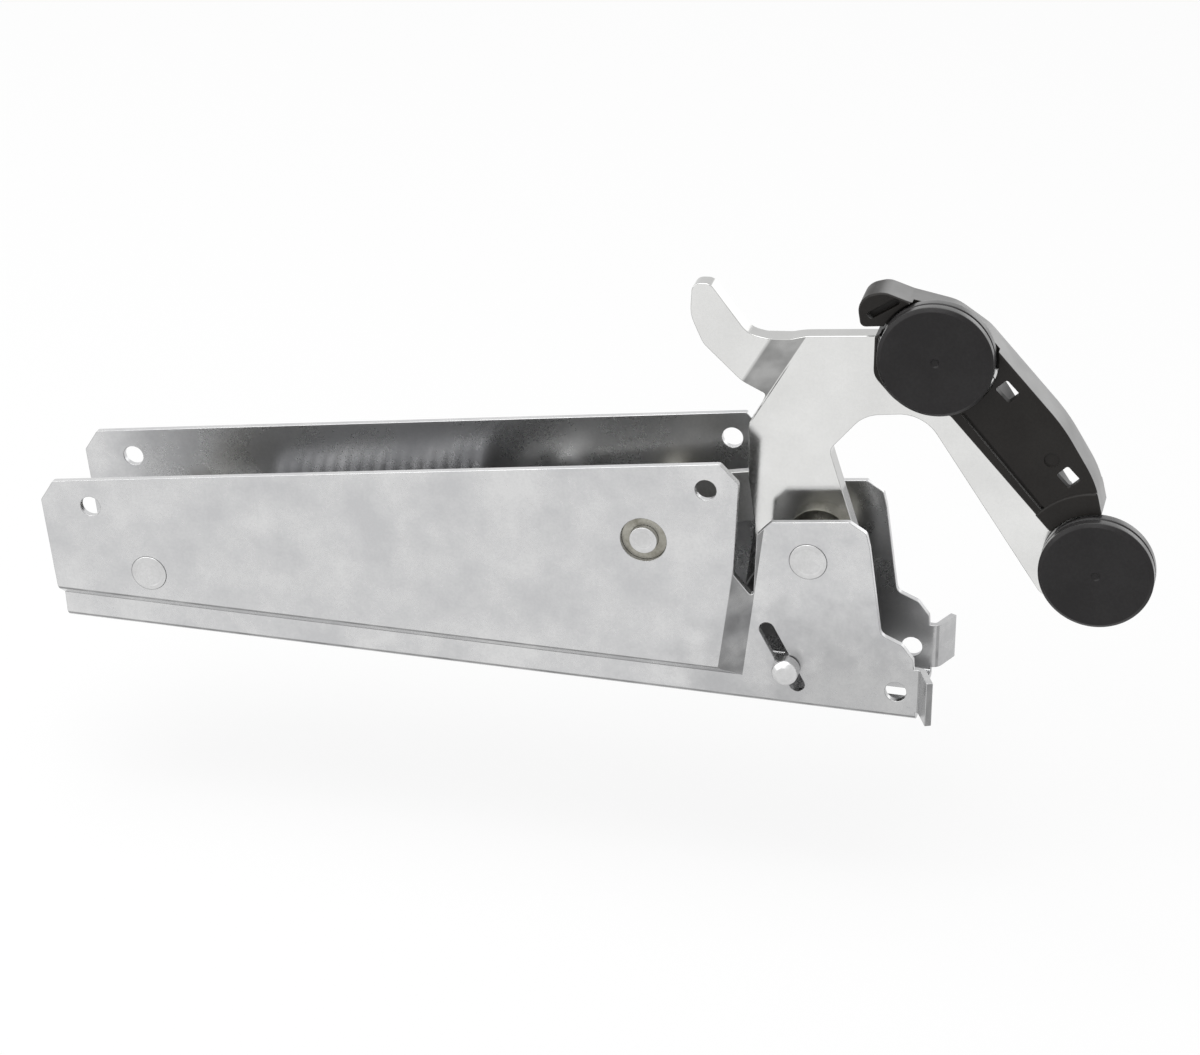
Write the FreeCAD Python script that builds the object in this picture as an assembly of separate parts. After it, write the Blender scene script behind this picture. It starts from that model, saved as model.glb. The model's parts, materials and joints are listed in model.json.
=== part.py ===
import FreeCAD, Part
import math
import os

# Oven door hinge: a folded channel with a sprung, goose-necked arm.
# Millimetres, +Z up, +X along the channel towards the arm, -Y is the front.
# Outlines are written about the arm pivot. The finished pieces are lifted
# so that the origin lies on the underside of the channel's web.

# Channel: one folded sheet
SHEET = 1.5
PIVOT_HEIGHT = 35.3
STRIP_HALF = 11.0
FLARE_HALF = 14.0
LEFT_X = -168.5
LEFT_NOSE = 3.0
LEFT_CHAMFER = 4.8
WALL_RIGHT_X = -14.6
WALL_RISE = 21.9
TOP_CHAMFER = 4.1
WEB_BEND = 2.0
STRIP_TOP = -28.9
STEP_RUN = 2.4
STEP_END_X = -10.8
STEP_END_RUN = 5.0
STEP_END_LEAN = 0.12
STEP_BEND = 2.0
RELIEF_BOTTOM = -3.6
RELIEF_DROP = 6.6
RELIEF_WIDTH = 3.6
BRACKET_TOP = 9.4
BRACKET_NECK_X = 13.0
BRACKET_WAIST_Z = -15.4
BRACKET_FOOT_X = 24.6
EAR_LENGTH = 5.8
EAR_ANGLE = 66.0
EAR_TOP = -22.8
EAR_BOTTOM = -33.1
EAR_ROOT = 3.5
EAR_BEND = 2.2
TAIL_NOTCH_X = 12.6
TAIL_NOTCH_GAP = 0.8
WEB_END_X = 23.6
WEB_END_HALF = 6.0
WEB_END_CUT = 60.0
SCREW_HOLE_R = 2.3
LEFT_HOLE = (-159.9, -5.1)
RIGHT_HOLE = (-21.6, 15.6)
FOOT_HOLE = (19.7, -28.6)

# Fits
SNUG = 0.02
RUNNING = 0.06
FREE = 0.3
SIDE_GAP = 0.3

# Pivot, stop pin and anchor
PIVOT_R = 4.0
SPACER_WALL = 2.6
STOP_PIN = (-34.9, 2.3)
STOP_PIN_R = 3.0
STOP_SLEEVE_R = 5.0
STOP_PIN_PROUD = 0.3
STOP_RECESS = 1.1
STOP_PIN_CHAMFER = 0.5
ANCHOR = (-147.1, -20.0)
ANCHOR_R = 4.0
ANCHOR_SPACER_WALL = 1.2
RIVET_PROUD = 0.15

# Arm
ARM_HALF = 2.0
ARM_REACH = 150.0
FOOT_R = 22.0
HORN_STEP = 4.0
HORN_DIRECTION = 150.8
HORN_BEND_START = 26.0
HORN_BEND_RUN = 6.4
FOOT_CORNER = 0.75
FOOT_TIP_ROUND = 1.2
FOOT_LEFT = -138.0
FOOT_RIGHT = -66.0
SADDLE_Z = 47.9
SADDLE_SLOPE = 0.114
STRAP_WIDTH = 16.6
STRAP_INNER_RUN = 40.4
STRAP_OUTER_RUN = (-2.5, 34.0)
ARM_NECK_RIGHT = (
    (10.6, -8.0, 6.0), (9.4, 0.0, 8.0), (2.2, 22.2, 2.5),
    (9.3, 30.9, 8.0), (21.6, 32.7, 8.5),
)
ARM_SHOULDER = ((32.4, 50.2, 5.0), (26.0, 54.2, 4.0), (16.6, 54.2, 2.0))
SADDLE_ENDS = ((12.6, 0.6), (-6.5, 4.0))
ARM_HORN = (
    (-15.0, 48.6, 5.0), (-23.0, 58.9, 2.2), (-26.9, 58.6, 2.0),
    (-27.2, 51.6, 8.0), (-24.4, 45.4, 5.0), (-11.6, 33.6, 1.0),
)
ARM_NECK_LEFT = (
    (-12.6, 31.0, 2.0), (-15.2, 26.2, 1.5), (-15.0, 14.0, 4.0),
    (-13.4, 3.0, 4.0), (-13.4, -9.0, 4.0),
)
ARCH_X = 25.3
ARCH_Z = 27.2
STRAP_ANGLE = -55.6
UPPER_STUD = (24.3, 46.9)
LOWER_STUD = (59.8, 2.5)
STUD_BOSS_R = 8.6

# Tie between the arm and the spring
CRANK_R = 11.5
CRANK_PIN_R = 2.0
CRANK_SWEEP = 90.0
CRANK_SKIN = 1.2
CRANK_SLOT_GAP = 0.5
LINK_THICK = 2.0
LINK_LIP = 1.8
LINK_UPPER = 6.2
LINK_LOWER = 5.8
LINK_OVERLAP = 4.4
LINK_RIVET_R = 1.9
LINK_RIVET_S = -24.6
LINK_RIVET_HEAD_R = 3.1
LINK_RIVET_HEAD = 1.1
LINK_RIVET_SLOPE = 0.7
LINK_RIVET_N = 3.4
TONGUE_HALF_HEIGHT = 6.6
TONGUE_HOOK_S = -33.6

# Tension spring
WIRE_R = 1.4
COIL_R = 9.0
PITCH = 3.0
HOOK_ANGLE = 160.0
EYE_R = 7.4
ANCHOR_HOOK_REACH = 11.0
HOOK_HOLE_GAP = 0.45
HOOK_LIP = 3.2
HOOK_END_HALF = 4.6
ANCHOR_WAIST_HALF = 5.4
HOOK_END_ROUND = 3.2

# Lock pin
LOCK_PIN = (-3.85, -25.7)
LOCK_SLOT_ANGLE = 118.9
LOCK_PIN_R = 1.6
LOCK_UP = 9.6
LOCK_DOWN = 4.6
LOCK_LIFT = 9.0
LOCK_HEAD_R = 2.9
LOCK_HEAD = 3.9
LOCK_HEAD_ROUND = 1.2
LOCK_COLLAR = 1.6
LOCK_NOTCH_GAP = 0.4
LOCK_NOTCH_DEPTH = 4.0

# Plastic shoe and rollers
SHOE_HALF = 4.0
SHOE_RIM = 1.1
SHOE_CHAMFER = 0.35
SHOE_LOBE = ((8.1, 51.6, 1.2), (7.0, 58.0, 4.0), (12.6, 59.9, 4.0), (17.8, 58.3, 5.0))
SHOE_BACK = ((27.0, 56.7, 9.0), (33.9, 52.2, 9.0), (50.9, 33.8, 40.0), (58.2, 22.0, 25.0))
SHOE_END = ((61.2, 9.8, 1.0), (51.6, 8.4, 1.0), (48.9, 10.4, 0.8))
SHOE_INNER = ((27.3, 33.8, 2.0), (17.0, 34.6, 9.0))
SHOE_SEAT = ((41.0, 4.0), (49.6, 0.6))
SHOE_STEP = (14.2, 52.4, 0.5)
COLLAR_R = 17.4
COLLAR_RISE = 0.45
SHOE_GROOVES = (
    ((30.3, 34.4), (48.0, 14.4), 0.45, 0.8),
    ((10.3, 54.6), (15.2, 57.9), 0.8, 1.5),
)
SHOE_DIMPLE = (48.9, 26.2)
SHOE_DIMPLE_R = 1.6
SHOE_DIMPLE_DEPTH = 0.4
ROLLER_R = 12.1
ROLLER_FACE = 7.8
ROLLER_BACK = 2.5
ROLLER_GAP = 0.5
ROLLER_SKIN = 1.4
ROLLER_EDGE = 0.7
RIM_GROOVE = 0.4
STUD_R = 3.0
STUD_SHANK_R = 2.5
STUD_SNAP = 0.35
STUD_SNAP_LENGTH = 0.9
STUD_SHOULDER_R = 5.2
STUD_HEAD_R = 4.6
STUD_HEAD = 1.4
WINDOW_LONG = 4.0
WINDOW_WIDE = 3.2
UPPER_WINDOW = (39.0, 40.6)
LOWER_WINDOW = (52.5, 22.7)

STRIP_INNER = STRIP_HALF - SHEET
FLARE_INNER = FLARE_HALF - SHEET
WEB_TOP = -PIVOT_HEIGHT + SHEET
LINK_INNER = ARM_HALF + SIDE_GAP
LINK_OUTER = LINK_INNER + LINK_THICK
SPACER_INNER = LINK_OUTER + SIDE_GAP


def vec(x, y, z):
    return FreeCAD.Vector(x, y, z)


def polar(radius, degrees, centre=(0.0, 0.0)):
    """Point at a radius and an angle, counted from +X towards +Z."""
    angle = math.radians(degrees)
    return (centre[0] + radius * math.cos(angle), centre[1] + radius * math.sin(angle))


def outline_edges(corners, place):
    """Edges of a closed outline; each corner is (u, v, round radius)."""
    count = len(corners)
    entries = []
    for i in range(count):
        u, v, radius = corners[i]
        before = corners[i - 1]
        after = corners[(i + 1) % count]
        to_before = FreeCAD.Vector(before[0] - u, before[1] - v, 0).normalize()
        to_after = FreeCAD.Vector(after[0] - u, after[1] - v, 0).normalize()
        here = FreeCAD.Vector(u, v, 0)
        half = to_before.getAngle(to_after) / 2
        if radius <= 0 or half > math.pi / 2 - 0.01:
            entries.append((here, here, here))
            continue
        reach = radius / math.tan(half)
        bisector = (to_before + to_after).normalize()
        middle = here + bisector * (radius / math.sin(half) - radius)
        entries.append((here + to_before * reach, middle, here + to_after * reach))
    edges = []
    for i in range(count):
        start, middle, end = entries[i]
        following = entries[(i + 1) % count][0]
        if (start - end).Length > 1e-6:
            edges.append(Part.Arc(place(start), place(middle), place(end)).toShape())
        if (following - end).Length > 1e-6:
            edges.append(Part.LineSegment(place(end), place(following)).toShape())
    return edges


def side_plate(corners, y_low, y_high):
    """Plate with an outline in the XZ plane, between two Y levels."""
    edges = outline_edges(corners, lambda p: vec(p.x, y_low, p.y))
    face = Part.Face(Part.Wire(edges))
    return face.extrude(vec(0, y_high - y_low, 0))


def flat_plate(corners, z_low, z_high):
    """Plate with an outline in the XY plane, between two Z levels."""
    edges = outline_edges(corners, lambda p: vec(p.x, p.y, z_low))
    face = Part.Face(Part.Wire(edges))
    return face.extrude(vec(0, 0, z_high - z_low))


def cross_rod(centre, radius, y_low, y_high):
    """Round bar along Y."""
    return Part.makeCylinder(radius, y_high - y_low, vec(centre[0], y_low, centre[1]), vec(0, 1, 0))


def cross_tube(centre, outer, inner, y_low, y_high):
    return cross_rod(centre, outer, y_low, y_high).cut(cross_rod(centre, inner, y_low - 1, y_high + 1))


def long_hole(start, end, radius, half_depth):
    """Straight slot with round ends, cut along Y."""
    along = FreeCAD.Vector(end[0] - start[0], end[1] - start[1], 0)
    side = FreeCAD.Vector(-along.y, along.x, 0).normalize() * radius
    corners = [
        (start[0] + side.x, start[1] + side.y, 0),
        (start[0] - side.x, start[1] - side.y, 0),
        (end[0] - side.x, end[1] - side.y, 0),
        (end[0] + side.x, end[1] + side.y, 0),
    ]
    body = side_plate(corners, -half_depth, half_depth)
    ends = [cross_rod(p, radius, -half_depth, half_depth) for p in (start, end)]
    return body.multiFuse(ends)


def mirrored(shape):
    return shape.mirror(vec(0, 0, 0), vec(0, 1, 0))


def one_solid(shape):
    """The joined shape with its split faces merged."""
    clean = shape.removeSplitter()
    if len(clean.Solids) == 1:
        return clean.Solids[0]
    return clean


# Channel

def step_shift(run, depth):
    """How far the inner sheet line moves in for a step of this run."""
    slope = math.hypot(run, depth)
    return SHEET * depth / slope - run * SHEET * (slope - run) / (depth * slope)


def step_corner_x(z, shift):
    return STEP_END_X - shift + STEP_END_LEAN * (z - RELIEF_BOTTOM)


def flare_corners(y, low_z, shift):
    """Corners of the pressed-out side at one depth, reaching beyond the wall's edges."""
    far_left = LEFT_X - 25
    far_top = WALL_RISE + 20
    return [
        vec(far_left, y, low_z),
        vec(step_corner_x(low_z, shift), y, low_z),
        vec(step_corner_x(far_top, shift), y, far_top),
        vec(far_left, y, far_top),
    ]


def flat_solid(near, far):
    """Solid with flat faces between two outlines that have the same corners."""
    count = len(near)
    loops = [near, far]
    for i in range(count):
        j = (i + 1) % count
        loops.append([near[i], near[j], far[j], far[i]])
    faces = [Part.Face(Part.makePolygon(loop + loop[:1])) for loop in loops]
    solid = Part.Solid(Part.makeShell(faces))
    if solid.Volume < 0:
        solid.reverse()
    return solid


def rounded_flare(half, flare_half, low_z, shift, bend):
    """Straight trough joined to the pressed-out sides, whose far bends are rounded."""
    depth = flare_half - half
    left = LEFT_X - 24
    length = BRACKET_FOOT_X + 20 - left
    height = WALL_RISE + 19 + PIVOT_HEIGHT
    floor = -PIVOT_HEIGHT + (STRIP_HALF - half)
    trough = Part.makeBox(length, 2 * half, height, vec(left, -half, floor))
    near = flare_corners(half, low_z, shift)
    far = flare_corners(half + depth, low_z + STEP_RUN, shift + STEP_END_RUN)
    side = flat_solid(near, far)
    body = trough.fuse([side, mirrored(side)]).removeSplitter()
    bends = []
    for edge in body.Edges:
        box = edge.BoundBox
        if edge.Length < 10 or box.YLength > 0.01:
            continue
        along_bottom = box.ZLength < 0.01 and abs(box.ZMin - low_z - STEP_RUN) < 0.01
        leans = 0.01 < box.XLength < 20 and box.ZLength > 10
        if abs(abs(box.YMin) - flare_half) < 0.01 and (along_bottom or leans):
            bends.append(edge)
    return body.makeFillet(bend, bends)


def web_bends(body, half, radius):
    """Rounds the two long edges where the walls leave the web."""
    floor = -PIVOT_HEIGHT + (STRIP_HALF - half)
    edges = []
    for edge in body.Edges:
        box = edge.BoundBox
        level = abs(box.ZMin - floor) < 0.01 and box.ZLength < 0.01
        if level and box.YLength < 0.01 and abs(abs(box.YMin) - half) < 0.01:
            edges.append(edge)
    return body.makeFillet(radius, edges)


def channel_outline():
    """Side view of the folded sheet, from the left foot round the top to the right foot."""
    bracket_left = WALL_RIGHT_X + RELIEF_WIDTH
    return [
        (LEFT_X + 0.3, -PIVOT_HEIGHT - 5, 0),
        (LEFT_X - 0.3, STRIP_TOP, 0),
        (LEFT_X - LEFT_NOSE, -LEFT_CHAMFER, 0.8),
        (LEFT_X, 0.0, 0.8),
        (WALL_RIGHT_X - TOP_CHAMFER, WALL_RISE, 1.0),
        (WALL_RIGHT_X, WALL_RISE - TOP_CHAMFER, 1.0),
        (WALL_RIGHT_X - 0.8, RELIEF_BOTTOM, 0.4),
        (bracket_left - 0.6, RELIEF_BOTTOM - RELIEF_DROP, 0.4),
        (bracket_left, BRACKET_TOP - 4.2, 0.8),
        (bracket_left + 2.8, BRACKET_TOP - 1.2, 0.8),
        (BRACKET_NECK_X - 4.6, BRACKET_TOP + 0.9, 1.0),
        (BRACKET_NECK_X - 0.8, BRACKET_TOP - 1.4, 1.5),
        (BRACKET_NECK_X, BRACKET_TOP - 4.6, 1.0),
        (BRACKET_NECK_X + 3.0, BRACKET_WAIST_Z, 2.0),
        (BRACKET_NECK_X + 7.7, BRACKET_WAIST_Z - 2.0, 2.0),
        (BRACKET_FOOT_X - 1.4, BRACKET_WAIST_Z - 5.2, 1.0),
        (BRACKET_FOOT_X, -PIVOT_HEIGHT - 5, 0),
    ]


def ear():
    """Flange bent outwards from the front wall's right edge."""
    angle = math.radians(EAR_ANGLE)
    reach = (EAR_LENGTH * math.cos(angle), -EAR_LENGTH * math.sin(angle))
    right = (SHEET * math.sin(angle), SHEET * math.cos(angle))
    root = (BRACKET_FOOT_X, -STRIP_HALF)
    bend = (right[1] - SHEET) / math.sin(angle) * math.cos(angle)
    corners = [
        (root[0] - EAR_ROOT, -STRIP_INNER, 0),
        (root[0] + right[0] + bend, -STRIP_INNER, EAR_BEND),
        (root[0] + right[0] + reach[0], root[1] + right[1] + reach[1], 0),
        (root[0] + reach[0], root[1] + reach[1], 0),
        (root[0], root[1], EAR_BEND - SHEET),
        (root[0] - EAR_ROOT, -STRIP_HALF, 0),
    ]
    return flat_plate(corners, EAR_BOTTOM, EAR_TOP)


def channel():
    shift = step_shift(STEP_RUN, FLARE_HALF - STRIP_HALF)
    end_shift = step_shift(STEP_END_RUN, FLARE_HALF - STRIP_HALF)
    outer = rounded_flare(STRIP_HALF, FLARE_HALF, STRIP_TOP, 0.0, STEP_BEND)
    inner = rounded_flare(STRIP_INNER, FLARE_INNER, STRIP_TOP + shift, end_shift, STEP_BEND - SHEET)
    outer = web_bends(outer, STRIP_HALF, WEB_BEND)
    inner = web_bends(inner, STRIP_INNER, WEB_BEND - SHEET)
    sheet = outer.cut(inner)
    sheet = sheet.common(side_plate(channel_outline(), -FLARE_HALF - 5, FLARE_HALF + 5))
    front_ear = ear()
    sheet = sheet.fuse([front_ear, mirrored(front_ear)])
    deep = FLARE_HALF + 5
    cuts = [cross_rod(p, SCREW_HOLE_R, -deep, deep) for p in (LEFT_HOLE, RIGHT_HOLE, FOOT_HOLE)]
    cuts.append(cross_rod((0, 0), PIVOT_R + SNUG, -deep, deep))
    cuts.append(cross_rod(ANCHOR, ANCHOR_R + SNUG, -deep, deep))
    cuts.append(cross_rod(STOP_PIN, STOP_SLEEVE_R + SNUG, -deep, deep))
    cuts.append(long_hole(lock_point(-LOCK_DOWN), lock_point(LOCK_UP), LOCK_PIN_R + RUNNING, deep))
    for start, half in ((TAIL_NOTCH_X, ARM_HALF + TAIL_NOTCH_GAP), (WEB_END_X, WEB_END_HALF)):
        cuts.append(Part.makeBox(WEB_END_CUT, 2 * half, 3 * SHEET, vec(start, -half, -PIVOT_HEIGHT - SHEET)))
    return one_solid(sheet.cut(cuts))


def lock_point(travel):
    """Centre of the lock pin after it has moved this far up its slot."""
    return polar(travel, LOCK_SLOT_ANGLE, LOCK_PIN)


# Rivets, pins and spacers that stay with the channel

def through_rivet(centre, radius, half):
    """Rivet set nearly flush in both walls, its ends slightly rounded."""
    rod = cross_rod(centre, radius, -half - RIVET_PROUD, half + RIVET_PROUD)
    rims = [e for e in rod.Edges if e.BoundBox.YLength < 0.01]
    return rod.makeChamfer(RIVET_PROUD * 0.9, rims)


def spacer(centre, radius, wall, y_low, y_high):
    return cross_tube(centre, radius + wall, radius + SNUG, y_low, y_high)


def stop_pin():
    half = FLARE_HALF + STOP_PIN_PROUD
    rod = cross_rod(STOP_PIN, STOP_PIN_R, -half, half)
    rims = [e for e in rod.Edges if e.BoundBox.YLength < 0.01]
    return rod.makeChamfer(STOP_PIN_CHAMFER, rims)


def stop_sleeve(side):
    low, high = sorted((side * (FLARE_HALF - STOP_RECESS), side * SPACER_INNER))
    return cross_tube(STOP_PIN, STOP_SLEEVE_R, STOP_PIN_R + SNUG, low, high)


# Arm

def strap_point(along, across):
    """Point beside the strap's inner edge: along it, and out from it."""
    angle = math.radians(STRAP_ANGLE)
    return (
        ARCH_X + along * math.cos(angle) - across * math.sin(angle),
        ARCH_Z + along * math.sin(angle) + across * math.cos(angle),
    )


def foot_corners():
    """Corners that follow the foot's rim about the pivot."""
    steps = 3
    half = (FOOT_RIGHT - FOOT_LEFT) / steps / 2
    reach = FOOT_R / math.cos(math.radians(half))
    start = polar(FOOT_R, FOOT_LEFT)
    end = polar(FOOT_R, FOOT_RIGHT)
    corners = [(start[0], start[1], FOOT_TIP_ROUND)]
    for i in range(steps):
        x, z = polar(reach, FOOT_LEFT + half * (2 * i + 1))
        corners.append((x, z, FOOT_R * FOOT_CORNER))
    return corners + [(end[0], end[1], FOOT_TIP_ROUND)]


def arm_outline():
    """Arm in side view: foot, right of the neck, strap, shoulder, saddle, horn, left of the neck."""
    saddle = [(x, SADDLE_Z + SADDLE_SLOPE * x, radius) for x, radius in SADDLE_ENDS]
    stud_x, stud_z = LOWER_STUD
    strap = [
        strap_point(STRAP_INNER_RUN, 0) + (2.5,),
        (stud_x - 2.0, stud_z - STUD_BOSS_R, 3.0),
        (stud_x + 3.4, stud_z - 2.0, 2.0),
        strap_point(STRAP_OUTER_RUN[1], STRAP_WIDTH) + (6.0,),
        strap_point(STRAP_OUTER_RUN[0], STRAP_WIDTH) + (6.0,),
    ]
    corners = foot_corners() + list(ARM_NECK_RIGHT) + strap + list(ARM_SHOULDER)
    return corners + saddle + list(ARM_HORN) + list(ARM_NECK_LEFT)


def bent_slab():
    """Plate blank whose upper left side steps to the front, for the horn."""
    lean = HORN_STEP / HORN_BEND_RUN
    back = 2 * ARM_HALF * math.tan(math.atan(lean) / 2)
    start = HORN_BEND_START
    end = HORN_BEND_START + HORN_BEND_RUN
    profile = [
        (-ARM_REACH, -ARM_HALF, 0),
        (start, -ARM_HALF, 2.0),
        (end, -ARM_HALF - HORN_STEP, 5.0),
        (ARM_REACH, -ARM_HALF - HORN_STEP, 0),
        (ARM_REACH, ARM_HALF - HORN_STEP, 0),
        (end + back, ARM_HALF - HORN_STEP, 2.0),
        (start + back, ARM_HALF, 5.0),
        (-ARM_REACH, ARM_HALF, 0),
    ]
    slab = flat_plate(profile, -ARM_REACH, ARM_REACH)
    return slab.rotate(vec(0, 0, 0), vec(0, 1, 0), -HORN_DIRECTION)


def crank_point():
    """Place of the crank pin: its quarter turn is centred on the tie's line."""
    return polar(CRANK_R, 90 + CRANK_SWEEP / 2 + tie_angle())


def arm_plate():
    blank = side_plate(arm_outline(), -ARM_HALF - HORN_STEP - 2, ARM_HALF + 2)
    boss = cross_rod(LOWER_STUD, STUD_BOSS_R, -ARM_HALF, ARM_HALF)
    plate = blank.common(bent_slab()).fuse(boss)
    deep = ARM_HALF + 1
    notch_r = LOCK_PIN_R + LOCK_NOTCH_GAP
    cuts = [
        cross_rod((0, 0), PIVOT_R + RUNNING, -deep, deep),
        cross_rod(crank_point(), CRANK_PIN_R + SNUG, -ARM_HALF + CRANK_SKIN, deep),
        cross_rod(UPPER_STUD, STUD_SHANK_R + SNUG, -deep, deep),
        cross_rod(LOWER_STUD, STUD_SHANK_R + SNUG, -deep, deep),
        long_hole(lock_point(LOCK_LIFT), lock_point(-LOCK_NOTCH_DEPTH), notch_r, deep),
    ]
    return one_solid(plate.cut(cuts))


def crank_pin():
    """Pin pressed into a blind hole in the rear of the arm."""
    return cross_rod(crank_point(), CRANK_PIN_R, -ARM_HALF + CRANK_SKIN + SNUG, LINK_OUTER + SIDE_GAP / 2)


# Tie and spring, drawn along their own line: s runs from the stop pin
# towards the arm, n is square to it and up.

def tie_angle():
    return math.degrees(math.atan2(STOP_PIN[1] - ANCHOR[1], STOP_PIN[0] - ANCHOR[0]))


def tie_travel():
    return 2 * CRANK_R * math.sin(math.radians(CRANK_SWEEP / 2))


def to_tie_line(point):
    """The (s, n) place of a point."""
    angle = math.radians(tie_angle())
    dx = point[0] - STOP_PIN[0]
    dz = point[1] - STOP_PIN[1]
    return (dx * math.cos(angle) + dz * math.sin(angle), dz * math.cos(angle) - dx * math.sin(angle))


def on_tie_line(shape):
    """Turns and moves a shape drawn in (s, y, n) to its place."""
    turned = shape.rotate(vec(0, 0, 0), vec(0, 1, 0), -tie_angle())
    return turned.translate(vec(STOP_PIN[0], 0, STOP_PIN[1]))


def link_cuts(deep):
    """The long slot for the stop pin and the two rivet holes."""
    cuts = [long_hole((FREE, 0), (-tie_travel() - FREE, 0), STOP_PIN_R + SIDE_GAP, deep)]
    for n in (-LINK_RIVET_N, LINK_RIVET_N):
        cuts.append(cross_rod((LINK_RIVET_S, n), LINK_RIVET_R + SNUG, -deep, deep))
    return cuts


def rear_link():
    """Flat link from the spring to the upright slot that the crank pin pulls in."""
    crank_s, crank_n = to_tie_line(crank_point())
    rise = CRANK_R - CRANK_R * math.cos(math.radians(CRANK_SWEEP / 2))
    slot_r = CRANK_PIN_R + CRANK_SLOT_GAP
    low = crank_n - CRANK_PIN_R - LINK_LIP
    high = crank_n + rise + slot_r + LINK_LIP
    right = crank_s + slot_r + LINK_LIP
    left = LINK_RIVET_S - LINK_OVERLAP
    corners = [
        (left, -LINK_LOWER, 2.5),
        (7.0, -LINK_LOWER, 3.0),
        (10.0, low, 3.0),
        (right, low, 2.8),
        (right, high, 3.5),
        (12.0, high, 3.0),
        (8.0, LINK_UPPER, 3.0),
        (left, LINK_UPPER, 2.5),
    ]
    plate = side_plate(corners, LINK_INNER, LINK_OUTER)
    deep = LINK_OUTER + 1
    upright = long_hole((crank_s, crank_n - 0.1), (crank_s, crank_n + rise + FREE), slot_r, deep)
    return on_tie_line(plate.cut(link_cuts(deep) + [upright]))


def front_guide():
    """Short plate on the tongue's front that keeps the tie straight on the stop pin."""
    left = LINK_RIVET_S - LINK_OVERLAP
    right = FREE + SIDE_GAP + LINK_UPPER
    corners = [
        (left, -LINK_LOWER, 2.5),
        (right, -LINK_LOWER, 4.5),
        (right, LINK_UPPER, 4.5),
        (left, LINK_UPPER, 2.5),
    ]
    plate = side_plate(corners, -LINK_OUTER, -LINK_INNER)
    return on_tie_line(plate.cut(link_cuts(LINK_OUTER + 1)))


def spring_tongue():
    """Middle plate between the links that the spring's hook passes through."""
    right = LINK_RIVET_S + 3.4
    left = TONGUE_HOOK_S - HOOK_LIP - WIRE_R
    corners = [
        (left, -HOOK_END_HALF, HOOK_END_ROUND),
        (left, HOOK_END_HALF, HOOK_END_ROUND),
        (LINK_RIVET_S - 5.0, TONGUE_HALF_HEIGHT, 2.0),
        (right, LINK_UPPER, 1.0),
        (right, -LINK_LOWER, 1.0),
        (LINK_RIVET_S - 5.0, -TONGUE_HALF_HEIGHT, 2.0),
    ]
    plate = side_plate(corners, -LINK_INNER, LINK_INNER)
    deep = LINK_INNER + 1
    cuts = [cross_rod((TONGUE_HOOK_S, 0), WIRE_R + HOOK_HOLE_GAP, -deep, deep)]
    for n in (-LINK_RIVET_N, LINK_RIVET_N):
        cuts.append(cross_rod((LINK_RIVET_S, n), LINK_RIVET_R + SNUG, -deep, deep))
    return on_tie_line(plate.cut(cuts))


def link_rivets():
    """Two rivets with low heads that clamp the links to the tongue."""
    rivets = []
    face = LINK_OUTER + LINK_RIVET_HEAD
    for n in (-LINK_RIVET_N, LINK_RIVET_N):
        centre = (LINK_RIVET_S, n)
        parts = []
        for side in (-1, 1):
            low, high = sorted((side * LINK_OUTER, side * face))
            head = cross_rod(centre, LINK_RIVET_HEAD_R, low, high)
            rim = [e for e in head.Edges if abs(abs(e.BoundBox.Center.y) - face) < 0.01]
            parts.append(head.makeChamfer(LINK_RIVET_SLOPE, rim))
        shank = cross_rod(centre, LINK_RIVET_R, -LINK_OUTER, LINK_OUTER)
        rivets.append(one_solid(shank.multiFuse(parts)))
    return on_tie_line(Part.makeCompound(rivets))


def anchor_s():
    return to_tie_line(ANCHOR)[0]


def anchor_plate():
    """Plate on the anchor rivet that holds the spring's fixed end."""
    eye = anchor_s()
    hook = eye + ANCHOR_HOOK_REACH
    right = hook + WIRE_R + HOOK_LIP
    corners = [
        (eye, EYE_R, 0),
        (eye, -EYE_R, 0),
        (hook - 2.0, -ANCHOR_WAIST_HALF, 2.0),
        (right, -HOOK_END_HALF, HOOK_END_ROUND),
        (right, HOOK_END_HALF, HOOK_END_ROUND),
        (hook - 2.0, ANCHOR_WAIST_HALF, 2.0),
    ]
    plate = side_plate(corners, -LINK_INNER, LINK_INNER)
    plate = plate.fuse(cross_rod((eye, 0), EYE_R, -LINK_INNER, LINK_INNER))
    deep = LINK_INNER + 1
    cuts = [
        cross_rod((eye, 0), ANCHOR_R + RUNNING, -deep, deep),
        cross_rod((hook, 0), WIRE_R + HOOK_HOLE_GAP, -deep, deep),
    ]
    return on_tie_line(one_solid(plate.cut(cuts)))


def wire_loop(centre_s, first_angle):
    """Loop of wire lying flat, which passes through the hole of its plate."""
    loop = Part.makeTorus(COIL_R, WIRE_R, vec(0, 0, 0), vec(0, 0, 1), 0, 360, HOOK_ANGLE)
    loop.rotate(vec(0, 0, 0), vec(0, 0, 1), first_angle)
    return loop.translate(vec(centre_s, 0, 0))


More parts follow.
